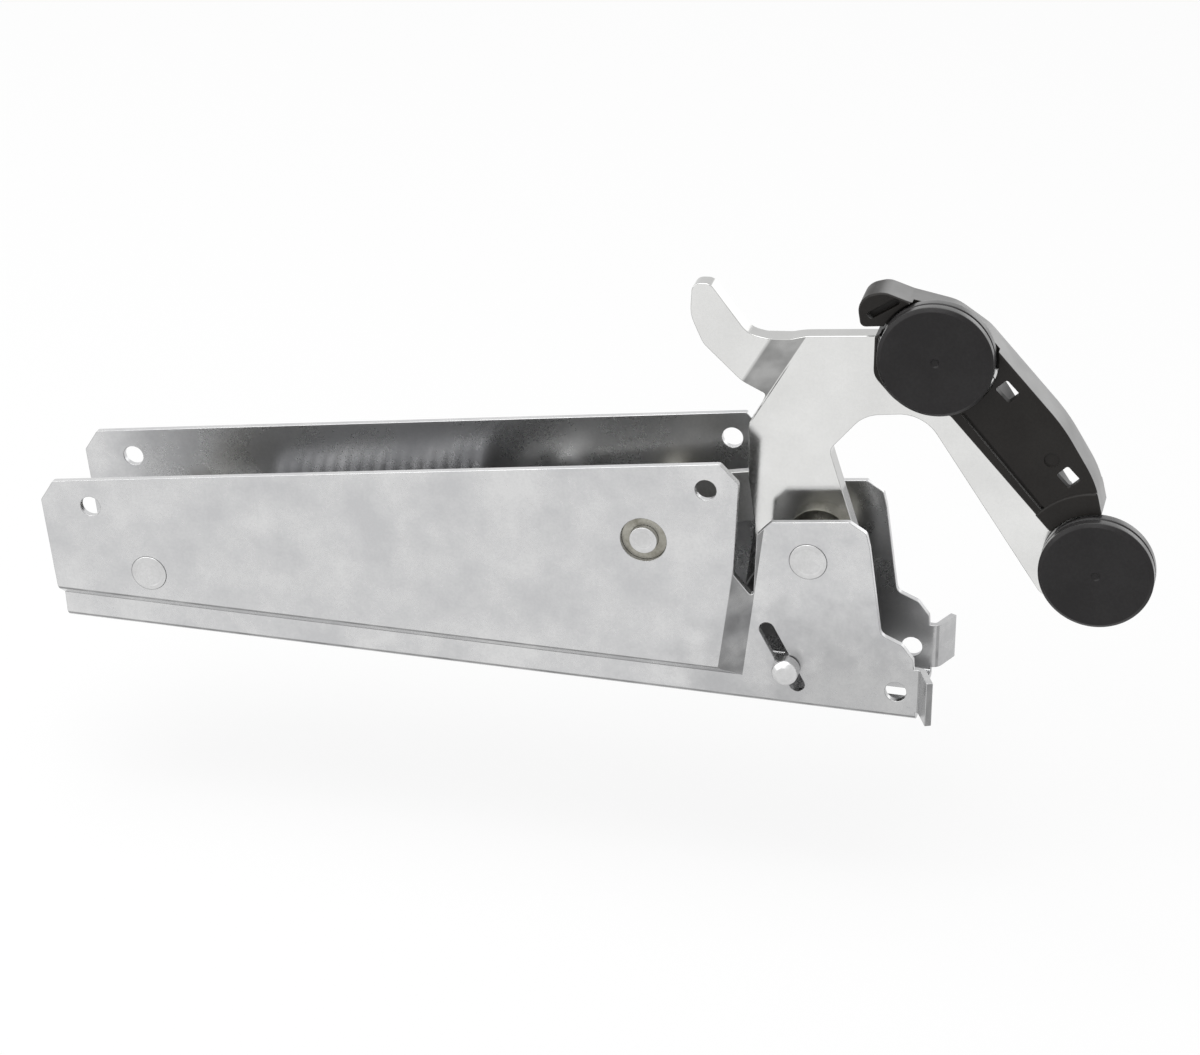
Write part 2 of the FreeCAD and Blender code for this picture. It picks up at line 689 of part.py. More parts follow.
def tension_spring():
    """Close coil with a half loop at each end, crossing the plates through their holes."""
    start = anchor_s() + ANCHOR_HOOK_REACH + COIL_R
    end = TONGUE_HOOK_S - COIL_R
    turns = math.floor((end - start) / PITCH) + 0.5
    helix = Part.makeHelix((end - start) / turns, end - start, COIL_R)
    helix.rotate(vec(0, 0, 0), vec(0, 0, 1), -90)
    helix.rotate(vec(0, 0, 0), vec(0, 1, 0), 90)
    first = helix.Edges[0]
    tangent = first.tangentAt(first.FirstParameter)
    ring = Part.makeCircle(WIRE_R, first.valueAt(first.FirstParameter), tangent)
    coil = Part.Wire(helix.Edges).makePipeShell([Part.Wire([ring])], True, True)
    coil.translate(vec(start, 0, 0))
    ends = [wire_loop(start, 270 - HOOK_ANGLE), wire_loop(end, 90 - HOOK_ANGLE)]
    for s, y in ((start, -COIL_R), (end, COIL_R)):
        ends.append(Part.makeSphere(WIRE_R, vec(s, y, 0)))
    return on_tie_line(coil.fuse(ends))


# Lock pin

def lock_pin():
    shank = cross_rod(LOCK_PIN, LOCK_PIN_R, -STRIP_HALF - SIDE_GAP, STRIP_HALF + SIDE_GAP + LOCK_COLLAR)
    outer = STRIP_HALF + SIDE_GAP
    head = cross_rod(LOCK_PIN, LOCK_HEAD_R, -outer - LOCK_HEAD, -outer)
    rim = [e for e in head.Edges if abs(e.BoundBox.Center.y + outer + LOCK_HEAD) < 0.01]
    head = head.makeFillet(LOCK_HEAD_ROUND, rim)
    return one_solid(shank.fuse(head))


def lock_collar():
    outer = STRIP_HALF + SIDE_GAP
    return cross_tube(LOCK_PIN, LOCK_HEAD_R, LOCK_PIN_R + SNUG, outer, outer + LOCK_COLLAR)


# Plastic shoe, rollers and their studs

def shoe_outline():
    """Shoe in side view: lobe over the saddle, back edge, lower end, inner edge, roller seat."""
    seat_x = UPPER_STUD[0] - ROLLER_R - SHOE_RIM
    seat = [(seat_x, z, radius) for z, radius in SHOE_SEAT]
    return list(SHOE_LOBE + SHOE_BACK + SHOE_END + SHOE_INNER) + seat + [SHOE_STEP]


def window(centre):
    """Rectangular opening square to the strap."""
    half_long = WINDOW_LONG / 2
    half_wide = WINDOW_WIDE / 2
    lean = math.radians(STRAP_ANGLE + 10)
    corners = []
    for a, b in ((-1, -1), (1, -1), (1, 1), (-1, 1)):
        along = a * half_long
        across = b * half_wide
        corners.append((
            centre[0] + along * math.cos(lean) - across * math.sin(lean),
            centre[1] + along * math.sin(lean) + across * math.cos(lean),
            0.5,
        ))
    return side_plate(corners, -SHOE_HALF - 1, SHOE_HALF + 1)


def glide_shoe():
    body = side_plate(shoe_outline(), -SHOE_HALF, SHOE_HALF)
    faces = [e for e in body.Edges if abs(abs(e.BoundBox.Center.y) - SHOE_HALF) < 0.01]
    body = body.makeChamfer(SHOE_CHAMFER, faces)
    collar = side_plate(shoe_outline(), -SHOE_HALF - COLLAR_RISE, SHOE_HALF + COLLAR_RISE)
    collar = collar.common(cross_rod(LOWER_STUD, COLLAR_R, -SHOE_HALF - 1, SHOE_HALF + 1))
    rims = [e for e in collar.Edges if abs(abs(e.BoundBox.Center.y) - SHOE_HALF - COLLAR_RISE) < 0.01]
    body = body.fuse(collar.makeChamfer(SHOE_CHAMFER, rims))
    slot_half = ARM_HALF + SNUG
    arm_slot = side_plate(arm_outline(), -slot_half, slot_half)
    arm_slot = arm_slot.fuse(cross_rod(LOWER_STUD, STUD_BOSS_R, -slot_half, slot_half))
    deep = SHOE_HALF + 1
    cuts = [
        arm_slot,
        cross_rod(LOWER_STUD, ROLLER_R + ROLLER_GAP, -deep, deep),
        cross_rod(UPPER_STUD, ROLLER_R + ROLLER_GAP, -deep, -ARM_HALF),
        cross_rod(UPPER_STUD, STUD_SHANK_R + SNUG, 0, deep),
        window(UPPER_WINDOW),
        window(LOWER_WINDOW),
    ]
    for start, end, radius, depth in SHOE_GROOVES:
        front = Part.makeBox(90, depth, 90, vec(-10, -SHOE_HALF, -10))
        cuts.append(long_hole(start, end, radius, deep).common(front))
    cuts.append(cross_rod(SHOE_DIMPLE, SHOE_DIMPLE_R, -deep, -SHOE_HALF + SHOE_DIMPLE_DEPTH))
    return one_solid(body.cut(cuts))


def roller(centre):
    """Closed-face roller with a blind bore, a snap groove and a grooved rim."""
    x, z = centre
    face = ROLLER_FACE
    bore = STUD_R + RUNNING
    bottom = face - ROLLER_SKIN
    snap = bore + STUD_SNAP
    mid = (face + ROLLER_BACK) / 2
    profile = [
        (bore, ROLLER_BACK), (ROLLER_R - ROLLER_EDGE, ROLLER_BACK),
        (ROLLER_R, ROLLER_BACK + ROLLER_EDGE), (ROLLER_R, mid - RIM_GROOVE),
        (ROLLER_R - RIM_GROOVE, mid), (ROLLER_R, mid + RIM_GROOVE),
        (ROLLER_R, face - ROLLER_EDGE), (ROLLER_R - ROLLER_EDGE, face),
        (1.0, face), (0.7, face - 0.3), (0.0, face - 0.3),
        (0.0, bottom), (snap, bottom),
        (snap, bottom - STUD_SNAP_LENGTH - 0.2), (bore, bottom - STUD_SNAP_LENGTH - 0.5),
    ]
    points = [vec(r, -depth, 0) for r, depth in profile]
    face_shape = Part.Face(Part.makePolygon(points + points[:1]))
    turned = face_shape.revolve(vec(0, 0, 0), vec(0, 1, 0), 360)
    return turned.translate(vec(x, 0, z))


def stud(centre, back):
    """Shouldered stud riveted through the arm, with a snap end for its roller."""
    x, z = centre
    tip = ROLLER_FACE - ROLLER_SKIN - 0.15
    snap = STUD_R + STUD_SNAP - RUNNING
    profile = [
        (0, -back - STUD_HEAD), (STUD_HEAD_R - 0.6, -back - STUD_HEAD), (STUD_HEAD_R, -back - 0.5),
        (STUD_HEAD_R, -back), (STUD_SHANK_R, -back), (STUD_SHANK_R, ARM_HALF),
        (STUD_SHOULDER_R, ARM_HALF), (STUD_SHOULDER_R, ROLLER_BACK - 0.1), (STUD_R, ROLLER_BACK - 0.1),
        (STUD_R, tip - STUD_SNAP_LENGTH), (snap, tip - STUD_SNAP_LENGTH + 0.2), (snap, tip - 0.3),
        (snap - 0.5, tip), (0, tip),
    ]
    points = [vec(r, -depth, 0) for r, depth in profile]
    face_shape = Part.Face(Part.makePolygon(points + points[:1]))
    turned = face_shape.revolve(vec(0, 0, 0), vec(0, 1, 0), 360)
    return turned.translate(vec(x, 0, z))


def pieces():
    return {
        "channel": channel(),
        "pivot_rivet": through_rivet((0, 0), PIVOT_R, STRIP_HALF),
        "front_pivot_spacer": spacer((0, 0), PIVOT_R, SPACER_WALL, -STRIP_INNER, -SPACER_INNER),
        "rear_pivot_spacer": spacer((0, 0), PIVOT_R, SPACER_WALL, SPACER_INNER, STRIP_INNER),
        "anchor_rivet": through_rivet(ANCHOR, ANCHOR_R, FLARE_HALF),
        "front_anchor_spacer": spacer(ANCHOR, ANCHOR_R, ANCHOR_SPACER_WALL, -FLARE_INNER, -LINK_INNER),
        "rear_anchor_spacer": spacer(ANCHOR, ANCHOR_R, ANCHOR_SPACER_WALL, LINK_INNER, FLARE_INNER),
        "stop_pin": stop_pin(),
        "front_stop_sleeve": stop_sleeve(-1),
        "rear_stop_sleeve": stop_sleeve(1),
        "anchor_plate": anchor_plate(),
        "tension_spring": tension_spring(),
        "arm_plate": arm_plate(),
        "crank_pin": crank_pin(),
        "front_guide": front_guide(),
        "rear_link": rear_link(),
        "spring_tongue": spring_tongue(),
        "link_rivets": link_rivets(),
        "lock_pin": lock_pin(),
        "lock_collar": lock_collar(),
        "glide_shoe": glide_shoe(),
        "upper_roller": roller(UPPER_STUD),
        "lower_roller": roller(LOWER_STUD),
        "upper_stud": stud(UPPER_STUD, SHOE_HALF),
        "lower_stud": stud(LOWER_STUD, ARM_HALF),
    }


os.makedirs("parts", exist_ok=True)
for name, shape in pieces().items():
    shape.translate(vec(0, 0, PIVOT_HEIGHT))
    shape.exportStep("parts/" + name + ".step")
    volume = sum(solid.Volume for solid in shape.Solids)
    print(name, "solids", len(shape.Solids), "valid", shape.isValid(), "volume", round(volume, 1))
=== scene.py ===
import json
import math

import bmesh
import bpy
import numpy as np
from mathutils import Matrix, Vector

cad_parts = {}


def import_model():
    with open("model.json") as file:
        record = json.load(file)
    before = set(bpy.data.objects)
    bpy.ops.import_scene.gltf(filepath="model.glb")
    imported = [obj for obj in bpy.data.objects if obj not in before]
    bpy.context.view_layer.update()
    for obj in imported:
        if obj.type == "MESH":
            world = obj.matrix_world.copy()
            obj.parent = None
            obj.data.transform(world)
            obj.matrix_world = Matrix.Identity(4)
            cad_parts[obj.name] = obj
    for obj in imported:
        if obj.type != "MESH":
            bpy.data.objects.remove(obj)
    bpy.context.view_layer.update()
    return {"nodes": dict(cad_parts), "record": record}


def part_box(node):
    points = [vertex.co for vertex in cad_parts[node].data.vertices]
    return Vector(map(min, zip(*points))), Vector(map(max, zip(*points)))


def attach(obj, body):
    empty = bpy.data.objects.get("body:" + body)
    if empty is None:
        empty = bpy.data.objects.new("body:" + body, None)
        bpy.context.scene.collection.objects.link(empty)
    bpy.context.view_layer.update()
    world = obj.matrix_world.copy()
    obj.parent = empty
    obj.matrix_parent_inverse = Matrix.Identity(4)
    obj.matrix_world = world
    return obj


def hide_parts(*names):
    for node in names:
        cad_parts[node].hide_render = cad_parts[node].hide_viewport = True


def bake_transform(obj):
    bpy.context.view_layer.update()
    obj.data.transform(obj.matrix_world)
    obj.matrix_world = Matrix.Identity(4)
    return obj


# Oven door hinge on a pale floor. Metres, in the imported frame: +X runs along
# the channel towards the arm, +Z is up and -Y is the side of the rollers.

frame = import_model()
nodes = frame["nodes"]
bodies = frame["record"]["behaviour"]["bodies"]
body_of_node = {node: body for body, names in bodies.items() for node in names}

MM = 0.001

# Camera, as the photograph was taken
CAMERA_TARGET = (-0.04785, 0.0, 0.03206)
CAMERA_AZIMUTH = 14.19
CAMERA_ELEVATION = 26.92
CAMERA_DISTANCE = 0.7653
CAMERA_LENS = 106.23
SENSOR_WIDTH = 36.0

# Floor, surroundings, and each lamp's name, place, width, height and power
FLOOR_HALF = 6.0
FLOOR_LEVEL = -41.0 * MM
FLOOR_TONE = 0.86
FLOOR_SHOWN_WHITE = 0.8
SURROUND_TONE = 0.55
LAMPS = (
    ("lamp_above", (-0.3, -0.3, 1.5), 1.6, 1.6, 18.0),
    ("lamp_left", (-1.3, -0.7, 0.7), 1.0, 1.0, 5.0),
    ("lamp_behind", (1.0, 1.7, 0.46), 1.3, 0.7, 2.6),
)

# Finish of the metals and the plastics
METAL_GRAIN = 2600.0
# Share of the colour left where the painted shade is full
PAINTED_SHADE_TONE = 0.34
SCUFF_ROUGHNESS = 0.12
SCUFF_DEPTH = 0.8
PLASTIC_CLOUDS = 90.0
PLASTIC_SPECKLE = 0.4
PLASTIC_SPECULAR = 0.22
RIM_ROUGHNESS = 0.3

# Copies of the frame's nodes, and new pieces
SAME_PLACE = 0.0005 * MM
FLAT_WITHIN = 0.4
COPY_SHARP = 30.0
EASED_FROM = 32.0
NEW_SHARP = 40.0

# Shoe: its cores are outlines along and across the strap, in millimetres
SHOE_EASE = 0.12
STRAP_CORNER = (25.3 * MM, 62.5 * MM)
STRAP_ANGLE = -55.6
CORE_FROM = -2.2 * MM
CORE_TO = 6.0 * MM
CORES = (
    ((-8.0, 17.0), (6.6, 17.0), (6.6, 22.6), (-8.0, 20.8)),
    ((7.9, 17.0), (24.4, 17.0), (24.4, 22.0), (16.0, 22.9), (7.9, 22.7)),
)

# Oval round both windows of the shoe, which the gloss coat and painted highlight on its rim keep clear of
WINDOWS_MIDDLE = (45.8 * MM, 0.0, 66.9 * MM)
WINDOWS_REACH = (14.5 * MM, 1.0, 2.6 * MM)

# Spring
WIRE_R = 1.4 * MM
COIL_R = 9.0 * MM
COIL_TURNS = 17.5
TURN_STEPS = 32
LOOP_STEPS = 30
HOOK_ANGLE = 160.0
HOOK_BEND = 16.0
WIRE_DOME = 0.6
TIE_START = (-34.9 * MM, 37.6 * MM)
TIE_ANGLE = 11.241
COIL_FROM = -94.4 * MM
COIL_TO = -42.6 * MM

# Rollers
ROLLER_BORE = 3.06 * MM
ROLLER_SKIN = 1.4 * MM
ROLLER_EDGE = 0.7 * MM
FACE_SHARE = 0.93
RIM_GROOVE = 0.4 * MM
PIP_R = 1.0 * MM
PIP_FLOOR_R = 0.7 * MM
PIP_DEPTH = 0.3 * MM

# Lock pin
LOCK_SHANK_R = 1.6 * MM
LOCK_HEAD_Y = -11.3 * MM
LOCK_DOME = 1.1 * MM


# Shader helpers

def add_node(tree, kind, sockets=None, **settings):
    """Adds a shader node; sockets gives its inputs a plain value or another node's output."""
    made = tree.nodes.new(kind)
    for name, value in settings.items():
        setattr(made, name, value)
    for key, value in (sockets or {}).items():
        if isinstance(value, bpy.types.NodeSocket):
            tree.links.new(value, made.inputs[key])
        else:
            made.inputs[key].default_value = value
    return made


def new_group(name, inputs, outputs):
    """Empty shader group with named sockets, and its two end nodes."""
    tree = bpy.data.node_groups.new(name, "ShaderNodeTree")
    for label, kind, value in inputs:
        socket = tree.interface.new_socket(label, in_out="INPUT", socket_type="NodeSocket" + kind)
        socket.default_value = value
    for label, kind in outputs:
        tree.interface.new_socket(label, in_out="OUTPUT", socket_type="NodeSocket" + kind)
    return tree, tree.nodes.new("NodeGroupInput"), tree.nodes.new("NodeGroupOutput")


def use_group(tree, group, sockets):
    return add_node(tree, "ShaderNodeGroup", sockets, node_tree=group)


def noise(tree, place, scale, detail=2.0, rough=0.5):
    sockets = {"Vector": place, "Scale": scale, "Detail": detail, "Roughness": rough}
    return add_node(tree, "ShaderNodeTexNoise", sockets).outputs["Fac"]


def remap(tree, value, low, high, to_low, to_high):
    sockets = {"Value": value, "From Min": low, "From Max": high, "To Min": to_low, "To Max": to_high}
    return add_node(tree, "ShaderNodeMapRange", sockets).outputs["Result"]


def arithmetic(tree, operation, a, b):
    return add_node(tree, "ShaderNodeMath", {0: a, 1: b}, operation=operation).outputs[0]


def product(tree, *factors):
    """The factors multiplied one after another."""
    result = factors[0]
    for factor in factors[1:]:
        result = arithmetic(tree, "MULTIPLY", result, factor)
    return result


def vectors(tree, operation, sockets, output="Vector"):
    return add_node(tree, "ShaderNodeVectorMath", sockets, operation=operation).outputs[output]


def mapped(tree, place, sockets, **settings):
    """Place as a Mapping node turns, stretches or moves it."""
    return add_node(tree, "ShaderNodeMapping", {"Vector": place} | sockets, **settings).outputs["Vector"]


def mixed(tree, data_type, slots, factor, low, high):
    """Low turned into high by a factor; slots are the Mix node's two inputs and output for the data type."""
    first, second, output = slots
    mix = add_node(tree, "ShaderNodeMix", {"Factor": factor, first: low, second: high}, data_type=data_type)
    return mix.outputs[output]


def side_facing(tree, coordinates):
    """1 on faces that look along Y and 0 on those square to it."""
    side = add_node(tree, "ShaderNodeSeparateXYZ", {"Vector": coordinates.outputs["Normal"]}).outputs["Y"]
    return arithmetic(tree, "ABSOLUTE", side, 0.0)


# Shader groups that several materials share

def cloudy_group():
    """Soft clouds of two tones, as zinc plating has, and the cloud mask itself."""
    tree, start, end = new_group(
        "cloudy_plating",
        [("Dark", "Color", (0.5, 0.5, 0.5, 1)), ("Light", "Color", (0.7, 0.7, 0.7, 1)),
         ("Cloud Scale", "Float", 60.0), ("Speckle", "Float", 0.3)],
        [("Color", "Color"), ("Cloud", "Float")],
    )
    place = add_node(tree, "ShaderNodeTexCoord").outputs["Object"]
    wide = remap(tree, noise(tree, place, start.outputs["Cloud Scale"], 4.0, 0.6), 0.35, 0.68, 0.0, 1.0)
    fine = remap(tree, noise(tree, place, 1500.0, 2.0, 0.7), 0.4, 0.6, -0.5, 0.5)
    cloud = arithmetic(tree, "ADD", wide, product(tree, fine, start.outputs["Speckle"]))
    cloud = add_node(tree, "ShaderNodeClamp", {"Value": cloud}).outputs[0]
    colour = mixed(tree, "RGBA", (6, 7, 2), cloud, start.outputs["Dark"], start.outputs["Light"])
    tree.links.new(colour, end.inputs["Color"])
    tree.links.new(cloud, end.inputs["Cloud"])
    return tree


def scuff_group():
    """Sparse hairline scuffs in two directions, Amount on a scuff and 0 elsewhere."""
    tree, start, end = new_group("hairline_scuffs", [("Amount", "Float", 0.5)], [("Mask", "Float")])
    place = add_node(tree, "ShaderNodeTexCoord").outputs["Object"]
    lines = []
    for turn, scale in ((0.35, (70.0, 2600.0, 2600.0)), (-0.9, (90.0, 2200.0, 2200.0))):
        turned_place = mapped(tree, place, {"Rotation": (0.0, turn, 0.2)})
        streak = noise(tree, mapped(tree, turned_place, {"Scale": scale}), 1.0, 1.0, 0.4)
        lines.append(remap(tree, streak, 0.70, 0.78, 0.0, 1.0))
    both = arithmetic(tree, "MAXIMUM", lines[0], lines[1])
    patches = remap(tree, noise(tree, place, 45.0, 2.0), 0.45, 0.6, 0.0, 1.0)
    tree.links.new(product(tree, both, patches, start.outputs["Amount"]), end.inputs["Mask"])
    return tree


def grain_group():
    """Fine surface grain, which may be drawn out along X as rolled sheet is."""
    tree, start, end = new_group(
        "surface_grain",
        [("Grain Scale", "Float", 3000.0), ("Drawn Out", "Float", 0.0)],
        [("Height", "Float"), ("Soft", "Float")],
    )
    place = add_node(tree, "ShaderNodeTexCoord").outputs["Object"]
    even = noise(tree, place, start.outputs["Grain Scale"], 3.0, 0.6)
    drawn_out = mapped(tree, place, {"Scale": (0.06, 1.0, 1.0)})
    rolled = noise(tree, drawn_out, start.outputs["Grain Scale"], 2.0)
    height = mixed(tree, "FLOAT", (2, 3, 0), start.outputs["Drawn Out"], even, rolled)
    tree.links.new(height, end.inputs["Height"])
    tree.links.new(noise(tree, place, 260.0, 3.0), end.inputs["Soft"])
    return tree


def painted_shade_group():
    """Painted shade on plating: colour darkened on faces bent out of the side plane, on sheared edges, and in
    a patch round one place.
    """
    tree, start, end = new_group(
        "painted_shade_plating",
        [("Bends", "Float", 0.0), ("Edges", "Float", 0.0), ("Patch", "Float", 0.0),
         ("Place", "Vector", (0.0, 0.0, 0.0)),
         ("Stretch", "Vector", (1.0, 1.0, 1.0)), ("Reach", "Float", 0.02)],
        [("Mask", "Float")],
    )
    coordinates = add_node(tree, "ShaderNodeTexCoord")
    place = coordinates.outputs["Object"]
    facing = side_facing(tree, coordinates)
    below = remap(tree, facing, 0.92, 0.97, 1.0, 0.0)
    above = remap(tree, facing, 0.74, 0.80, 0.0, 1.0)
    uneven = remap(tree, noise(tree, place, 170.0, 2.0), 0.35, 0.65, 0.72, 1.0)
    # Painted shade: bent faces and sheared edges are picked out by which way they face
    bent = product(tree, below, above, start.outputs["Bends"], uneven)
    sheared = product(tree, remap(tree, facing, 0.25, 0.45, 1.0, 0.0), start.outputs["Edges"])
    # Painted shade in a soft patch round Place
    off = vectors(tree, "SUBTRACT", {0: place, 1: start.outputs["Place"]})
    off = vectors(tree, "MULTIPLY", {0: off, 1: start.outputs["Stretch"]})
    share = arithmetic(tree, "DIVIDE", vectors(tree, "LENGTH", {0: off}, "Value"), start.outputs["Reach"])
    wander = remap(tree, noise(tree, place, 140.0, 3.0), 0.3, 0.7, -0.15, 0.15)
    patch = remap(tree, arithmetic(tree, "ADD", share, wander), 0.35, 1.0, 1.0, 0.0)
    patch = product(tree, patch, start.outputs["Patch"])
    shaded_faces = arithmetic(tree, "MAXIMUM", bent, sheared)
    tree.links.new(arithmetic(tree, "MAXIMUM", shaded_faces, patch), end.inputs["Mask"])
    return tree


def gloss_and_highlight_group():
    """Mask for gloss and a painted highlight: faces that look out round the edge of a moulding towards one
    side, clear of one oval hollow.
    """
    tree, start, end = new_group(
        "glossy_painted_highlight_rims",
        [("Towards", "Vector", (0.0, 0.0, 0.0)), ("Evenly", "Float", 0.0),
         ("Hollow Place", "Vector", (1.0, 0.0, 0.0)), ("Hollow Turn", "Vector", (0.0, 0.0, 0.0)),
         ("Hollow Size", "Vector", (0.1, 0.1, 0.1))],
        [("Mask", "Float")],
    )
    coordinates = add_node(tree, "ShaderNodeTexCoord")
    place = coordinates.outputs["Object"]
    around = remap(tree, side_facing(tree, coordinates), 0.3, 0.7, 1.0, 0.0)
    sockets = {0: coordinates.outputs["Normal"], 1: start.outputs["Towards"]}
    along = vectors(tree, "DOT_PRODUCT", sockets, "Value")
    along = remap(tree, arithmetic(tree, "ADD", along, start.outputs["Evenly"]), 0.3, 0.85, 0.0, 1.0)
    rim_gloss_and_highlight = remap(tree, noise(tree, place, 110.0, 3.0), 0.3, 0.7, 0.78, 1.0)
    oval = {
        "Location": start.outputs["Hollow Place"], "Rotation": start.outputs["Hollow Turn"],
        "Scale": start.outputs["Hollow Size"]}
    within = mapped(tree, place, oval, vector_type="TEXTURE")
    clear = remap(tree, vectors(tree, "LENGTH", {0: within}, "Value"), 1.1, 1.4, 0.0, 1.0)
    tree.links.new(product(tree, around, along, rim_gloss_and_highlight, clear), end.inputs["Mask"])
    return tree


CLOUDY = cloudy_group()
SCUFFS = scuff_group()
GRAIN = grain_group()
PAINTED_SHADE_GROUP = painted_shade_group()
GLOSS_AND_HIGHLIGHT = gloss_and_highlight_group()


# Materials

def new_material(name, dark, light, cloud_scale, speckle):
    """Material with its tree, its shader and its clouded colour."""
    made = bpy.data.materials.new(name)
    made.use_nodes = True
    tree = made.node_tree
    cloudy = use_group(tree, CLOUDY, {
        "Dark": dark + (1,), "Light": light + (1,), "Cloud Scale": cloud_scale, "Speckle": speckle})
    return made, tree, tree.nodes["Principled BSDF"], cloudy


def finish_surface(tree, shader, colour, roughness, height, bump):
    """Feeds a shader with its colour and roughness, and with a relief whose depth is in millimetres."""
    relief = add_node(tree, "ShaderNodeBump", {"Strength": 1.0, "Distance": bump * MM, "Height": height})
    tree.links.new(colour, shader.inputs["Base Color"])
    tree.links.new(roughness, shader.inputs["Roughness"])
    tree.links.new(relief.outputs["Normal"], shader.inputs["Normal"])


def metal(name, dark, light, roughness, clouds, scuffs, drawn=0.0, bump=0.012, painted_shade=None):
    """Plated or bare steel: clouded colour, uneven gloss, fine grain, a few scuffs, and painted shade on
    bends, edges and one patch.

    Clouds is the scale of the clouds and the strength of the speckle in them."""
    made, tree, shader, cloudy = new_material(name, dark, light, *clouds)
    shader.inputs["Metallic"].default_value = 1.0
    scuff = use_group(tree, SCUFFS, {"Amount": scuffs}).outputs["Mask"]
    grain = use_group(tree, GRAIN, {"Grain Scale": METAL_GRAIN, "Drawn Out": drawn})
    colour = cloudy.outputs["Color"]
    if painted_shade:
        mask = use_group(tree, PAINTED_SHADE_GROUP, painted_shade).outputs["Mask"]
        # Painted shade: the colour is darkened where the mask is full
        colour = vectors(tree, "SCALE", {0: colour, "Scale": remap(tree, mask, 0.0, 1.0, 1.0, PAINTED_SHADE_TONE)})
    gloss = remap(tree, cloudy.outputs["Cloud"], 0.0, 1.0, roughness * 1.18, roughness * 0.88)
    gloss = arithmetic(tree, "ADD", gloss, product(tree, scuff, SCUFF_ROUGHNESS))
    height = arithmetic(tree, "SUBTRACT", grain.outputs["Height"], product(tree, scuff, SCUFF_DEPTH))
    height = arithmetic(tree, "ADD", height, grain.outputs["Soft"])
    finish_surface(tree, shader, colour, gloss, height, bump)
    return made


def plastic(name, dark, light, roughness, bump, grain_scale, rims, painted_highlight):
    """Moulded plastic with a fine even grain, whose rims have a gloss coat and a painted highlight: their
    colour lightened on the faces towards one side.
    """
    made, tree, shader, cloudy = new_material(name, dark, light, PLASTIC_CLOUDS, PLASTIC_SPECKLE)
    shader.inputs["Specular IOR Level"].default_value = PLASTIC_SPECULAR
    shader.inputs["Coat Roughness"].default_value = RIM_ROUGHNESS
    grain = use_group(tree, GRAIN, {"Grain Scale": grain_scale})
    rim_gloss_and_highlight = use_group(tree, GLOSS_AND_HIGHLIGHT, rims).outputs["Mask"]
    # Painted highlight: the rim faces' colour is lightened by the mask
    colour = vectors(tree, "ADD", {0: cloudy.outputs["Color"], 1: product(tree, rim_gloss_and_highlight, painted_highlight)})
    gloss = remap(tree, grain.outputs["Soft"], 0.3, 0.7, roughness - 0.04, roughness + 0.05)
    finish_surface(tree, shader, colour, gloss, grain.outputs["Height"], bump)
    tree.links.new(rim_gloss_and_highlight, shader.inputs["Coat Weight"])
    return made


METALS = {
    "zinc_sheet": {
        "dark": (0.565, 0.567, 0.575), "light": (0.69, 0.69, 0.69), "roughness": 0.27, "clouds": (70.0, 0.22),
        "scuffs": 0.6, "drawn": 0.5, "bump": 0.007,
        # painted shade: bent faces darkened, and a patch low on the bracket
        "painted_shade": {"Bends": 1.0, "Patch": 0.36, "Place": (0.012, -0.011, 0.004), "Stretch": (0.55, 0.0, 1.0),
                   "Reach": 0.024}},
    "arm_zinc": {
        "dark": (0.7, 0.7, 0.69), "light": (0.77, 0.77, 0.76), "roughness": 0.12, "clouds": (60.0, 0.25),
        # painted shade: bent faces and sheared edges darkened
        "scuffs": 0.5, "drawn": 0.2, "bump": 0.003, "painted_shade": {"Bends": 1.0, "Edges": 0.42}},
    "plate_steel": {
        "dark": (0.47, 0.47, 0.465), "light": (0.58, 0.58, 0.57), "roughness": 0.36, "clouds": (70.0, 0.4),
        "scuffs": 0.5, "drawn": 0.3},
    "rivet_steel": {
        "dark": (0.6, 0.6, 0.6), "light": (0.69, 0.69, 0.69), "roughness": 0.3, "clouds": (140.0, 0.4),
        "scuffs": 0.3},
    "turned_steel": {
        "dark": (0.24, 0.23, 0.195), "light": (0.42, 0.41, 0.365), "roughness": 0.3, "clouds": (160.0, 0.3),
        "scuffs": 0.3},
    "spring_wire": {
        "dark": (0.2, 0.202, 0.21), "light": (0.31, 0.31, 0.315), "roughness": 0.3, "clouds": (110.0, 0.3),
        "scuffs": 0.2},
}
PLASTICS = {
    "black_plastic": {
        "dark": (0.011, 0.0095, 0.0085), "light": (0.016, 0.0145, 0.013), "roughness": 0.42, "bump": 0.02,
        # painted highlight: rim faces towards the upper right lightened
        "grain_scale": 1900.0, "painted_highlight": 0.19,
        "rims": {"Towards": (0.78, 0.0, 0.62), "Hollow Place": WINDOWS_MIDDLE,
                 "Hollow Turn": (0.0, math.radians(-STRAP_ANGLE), 0.0), "Hollow Size": WINDOWS_REACH}},
    "roller_plastic": {
        "dark": (0.013, 0.012, 0.0125), "light": (0.019, 0.018, 0.0185), "roughness": 0.34, "bump": 0.008,
        # painted highlight: all rim faces lightened a little
        "grain_scale": 2400.0, "painted_highlight": 0.02, "rims": {"Evenly": 1.0}},
}
MATERIALS = {name: metal(name, **look) for name, look in METALS.items()}
MATERIALS |= {name: plastic(name, **look) for name, look in PLASTICS.items()}


# Geometry helpers

def new_object(name, data):
    """Object at the origin with the given mesh, lamp or camera data."""
    made = bpy.data.objects.new(name, data)
    bpy.context.scene.collection.objects.link(made)
    return made


def mend_mesh(mesh, mend):
    """Puts a mesh through one mend, which is given it as a bmesh."""
    work = bmesh.new()
    work.from_mesh(mesh)
    mend(work)
    work.to_mesh(mesh)
    work.free()


def parabola(t, first, middle, last):
    """Curve from first to last that sets out towards middle: (1-t)² first + 2t(1-t) middle + t² last."""
    return (1 - t) ** 2 * first + 2 * t * (1 - t) * middle + t ** 2 * last


